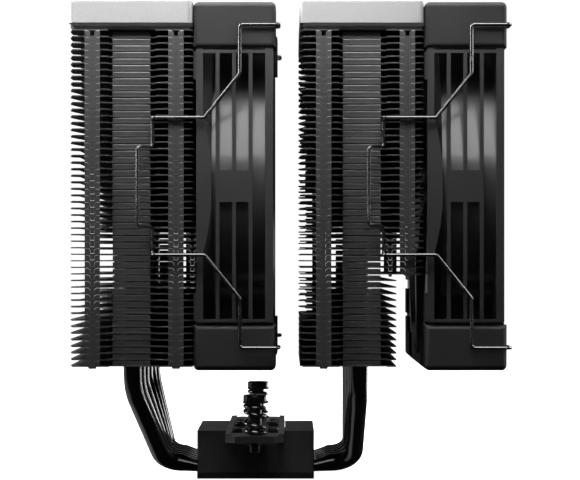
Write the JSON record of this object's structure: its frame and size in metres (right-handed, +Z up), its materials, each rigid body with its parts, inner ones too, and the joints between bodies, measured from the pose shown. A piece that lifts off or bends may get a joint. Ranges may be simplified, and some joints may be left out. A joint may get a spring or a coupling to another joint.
{
  "type": "processor tower cooler",
  "caption": "Dual-tower air cooler for a computer processor: finned towers on bent heat pipes, slotted fans held by wire clips, lift-off metal covers and a sprung mounting bar.",
  "frame": {"origin": "centre of the cold plate's contact face, which rests on the processor", "axes": "+Z up, away from the processor along the towers; X is the airflow line, with both fans on the +X side of their towers and air leaving towards -X; Y runs along the mounting bar"},
  "size_m": [0.1441, 0.1242, 0.1591],
  "materials": {
    "nickel_plate": "nickel-plated copper, fine milled face",
    "black_metal": "black coating, satin",
    "bar_black": "black coating, satin",
    "black_steel": "black zinc, semi-gloss",
    "bright_steel": "bright zinc",
    "spring_steel": "black-plated spring steel, glossy",
    "fin_black": "black anodised aluminium sheet, satin",
    "pipe_black": "black-nickel plated copper, high gloss",
    "tray_plastic": "fine moulded texture",
    "cover_silver": "bead-blasted satin",
    "frame_plastic": "fine moulded texture",
    "pad_rubber": "matt",
    "blade_plastic": "satin",
    "magnet_rubber": "matt ferrite",
    "bearing_bronze": "sintered bronze",
    "core_steel": "laminated electrical steel",
    "copper_wire": "enamelled copper",
    "board_green": "circuit board",
    "badge_satin": "plain satin disc",
    "clip_wire": "bright drawn spring wire"
  },
  "bodies": {
    "heatsink": {"cold_plate": "nickel_plate", "base_block": "black_metal", "heat_pipe_1": "pipe_black", "heat_pipe_2": "pipe_black", "heat_pipe_3": "pipe_black", "heat_pipe_4": "pipe_black", "heat_pipe_5": "pipe_black", "heat_pipe_6": "pipe_black", "rear_fin_stack": "fin_black", "front_fin_stack": "fin_black", "front_fin_stack_lower": "fin_black", "mounting_bar": "bar_black", "bar_screws": "black_steel", "left_screw_spring": "spring_steel", "right_screw_spring": "spring_steel", "rear_cover_tray": "tray_plastic", "front_cover_tray": "tray_plastic", "tray_magnets": "bright_steel"},
    "left_spring_washer": {"left_spring_washer": "black_steel"},
    "left_mount_screw": {"left_mount_screw": "black_steel", "left_retaining_clip": "bright_steel"},
    "right_spring_washer": {"right_spring_washer": "black_steel"},
    "right_mount_screw": {"right_mount_screw": "black_steel", "right_retaining_clip": "bright_steel"},
    "rear_top_cover": {"rear_top_cover": "cover_silver", "rear_cover_carrier": "tray_plastic", "rear_cover_magnets": "bright_steel"},
    "rear_fan": {"rear_fan_frame": "frame_plastic", "rear_corner_pads": "pad_rubber", "rear_shaft_ring": "frame_plastic", "rear_bearing": "bearing_bronze", "rear_stator_core": "core_steel", "rear_stator_coils": "copper_wire", "rear_circuit_board": "board_green"},
    "rear_rotor": {"rear_impeller": "blade_plastic", "rear_rotor_cup": "bright_steel", "rear_rotor_magnet": "magnet_rubber", "rear_shaft": "bright_steel", "rear_hub_badge": "badge_satin"},
    "rear_left_clip": {"rear_left_clip": "clip_wire"},
    "rear_right_clip": {"rear_right_clip": "clip_wire"},
    "front_top_cover": {"front_top_cover": "cover_silver", "front_cover_carrier": "tray_plastic", "front_cover_magnets": "bright_steel"},
    "front_fan": {"front_fan_frame": "frame_plastic", "front_corner_pads": "pad_rubber", "front_shaft_ring": "frame_plastic", "front_bearing": "bearing_bronze", "front_stator_core": "core_steel", "front_stator_coils": "copper_wire", "front_circuit_board": "board_green"},
    "front_rotor": {"front_impeller": "blade_plastic", "front_rotor_cup": "bright_steel", "front_rotor_magnet": "magnet_rubber", "front_shaft": "bright_steel", "front_hub_badge": "badge_satin"},
    "front_left_clip": {"front_left_clip": "clip_wire"},
    "front_right_clip": {"front_right_clip": "clip_wire"}
  },
  "joints": [
    {"name": "left_screw_plunge", "type": "slide", "parent": "heatsink", "child": "left_spring_washer", "axis": [0, 0, -1], "range_m": [0, 0.0045], "stiffness_N_per_m": 2500, "deforming": ["left_screw_spring"]},
    {"name": "left_screw_turn", "type": "hinge", "parent": "left_spring_washer", "child": "left_mount_screw", "pos_m": [0, -0.04, 0.02], "axis": [0, 0, 1], "continuous": true},
    {"name": "right_screw_plunge", "type": "slide", "parent": "heatsink", "child": "right_spring_washer", "axis": [0, 0, -1], "range_m": [0, 0.0045], "stiffness_N_per_m": 2500, "deforming": ["right_screw_spring"]},
    {"name": "right_screw_turn", "type": "hinge", "parent": "right_spring_washer", "child": "right_mount_screw", "pos_m": [0, 0.04, 0.02], "axis": [0, 0, 1], "continuous": true},
    {"name": "rear_cover_lift", "type": "slide", "parent": "heatsink", "child": "rear_top_cover", "axis": [0, 0, 1], "range_m": [0, 0.03]},
    {"name": "rear_fan_height", "type": "slide", "parent": "heatsink", "child": "rear_fan", "axis": [0, 0, 1], "range_m": [0, 0.025]},
    {"name": "rear_rotor_spin", "type": "hinge", "parent": "rear_fan", "child": "rear_rotor", "pos_m": [-0.00625, 0, 0.0988], "axis": [1, 0, 0], "continuous": true},
    {"name": "rear_left_clip_swing", "type": "hinge", "parent": "rear_fan", "child": "rear_left_clip", "pos_m": [0.0081, -0.0525, 0.0988], "axis": [0, 0, 1], "range_deg": [0, 28]},
    {"name": "rear_right_clip_swing", "type": "hinge", "parent": "rear_fan", "child": "rear_right_clip", "pos_m": [0.0081, 0.0525, 0.0988], "axis": [0, 0, -1], "range_deg": [0, 28]},
    {"name": "front_cover_lift", "type": "slide", "parent": "heatsink", "child": "front_top_cover", "axis": [0, 0, 1], "range_m": [0, 0.03]},
    {"name": "front_fan_height", "type": "slide", "parent": "heatsink", "child": "front_fan", "axis": [0, 0, 1], "range_m": [0, 0.025]},
    {"name": "front_rotor_spin", "type": "hinge", "parent": "front_fan", "child": "front_rotor", "pos_m": [0.06895, 0, 0.0988], "axis": [1, 0, 0], "continuous": true},
    {"name": "front_left_clip_swing", "type": "hinge", "parent": "front_fan", "child": "front_left_clip", "pos_m": [0.0833, -0.0525, 0.0988], "axis": [0, 0, 1], "range_deg": [0, 28]},
    {"name": "front_right_clip_swing", "type": "hinge", "parent": "front_fan", "child": "front_right_clip", "pos_m": [0.0833, 0.0525, 0.0988], "axis": [0, 0, -1], "range_deg": [0, 28]}
  ]
}
